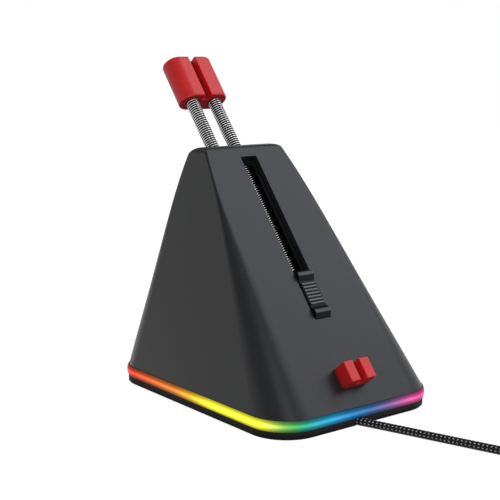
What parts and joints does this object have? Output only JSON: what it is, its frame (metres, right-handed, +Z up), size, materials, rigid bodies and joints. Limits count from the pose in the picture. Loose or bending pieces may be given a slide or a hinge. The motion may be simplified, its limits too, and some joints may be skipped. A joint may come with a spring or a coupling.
{
  "type": "mouse bungee",
  "caption": "Weighted wedge-shaped mouse cable holder with a light ring, a sliding twin-spring arm and red cable clips, and a braided power cable with its plug.",
  "frame": {"origin": "on the desk, under the middle of the box that the object fills without its cable", "axes": "+Z up, -Y towards the slotted front face with the lower clip, +X to the right seen from that face"},
  "size_m": [0.1509, 0.2719, 0.1563],
  "materials": {
    "shell_plastic": "satin moulded plastic with a very fine grain",
    "base_plastic": "plain moulded plastic",
    "red_plastic": "satin moulded plastic",
    "button_plastic": "satin moulded plastic with worn-bright ridges",
    "track_plastic": "smooth moulded plastic",
    "ring_diffuser": "milky diffuser lit from behind in a rainbow",
    "spring_steel": "bright drawn steel wire",
    "screw_steel": "zinc plated",
    "ballast_steel": "raw steel with a thin oxide skin",
    "board": "solder-masked circuit board",
    "led_resin": "clear resin over a white cup",
    "chip_black": "moulded epoxy",
    "connector_white": "moulded plastic",
    "cable_braid": "braided sleeve with light flecks",
    "tie_fabric": "hook and loop strap",
    "plug_plastic": "overmoulded plastic",
    "plug_metal": "nickel plated",
    "plug_white": "moulded plastic",
    "foot_rubber": "soft matt rubber"
  },
  "bodies": {
    "base_body": {"body_shell": "shell_plastic", "base_plate": "base_plastic", "light_ring": "ring_diffuser", "led_board": "board", "leds": "led_resin", "ballast_weight": "ballast_steel", "ballast_screws": "screw_steel", "rubber_feet": "foot_rubber", "base_screws": "screw_steel", "slide_track": "track_plastic", "track_screws": "screw_steel", "lower_clip": "red_plastic", "control_board": "board", "control_chip": "chip_black", "cable_connector": "connector_white", "cable_clamp": "base_plastic", "clamp_screws": "screw_steel", "cable_lead": "cable_braid", "cable_coil": "cable_braid", "cable_tail": "cable_braid", "coil_tie": "tie_fabric", "plug_grip": "plug_plastic", "plug_shell": "plug_metal", "plug_tongue": "plug_white"},
    "slider_body": {"slider_button": "button_plastic", "carriage": "track_plastic", "slider_screws": "screw_steel", "friction_leaf": "spring_steel", "spring_left": "spring_steel", "spring_right": "spring_steel", "spring_pins": "screw_steel"},
    "clip_body": {"top_clip": "red_plastic"}
  },
  "joints": [
    {"name": "height_slide", "type": "slide", "parent": "base_body", "child": "slider_body", "axis": [0, 0.6237, 0.7817], "range_m": [0, 0.062]},
    {"name": "arm_flex", "type": "hinge", "parent": "slider_body", "child": "clip_body", "pos_m": [0, 0.03976, 0.12194], "axis": [1, 0, 0], "range_deg": [-25, 25], "stiffness_Nm_per_rad": 0.12, "deforming": ["spring_left", "spring_right"]}
  ]
}
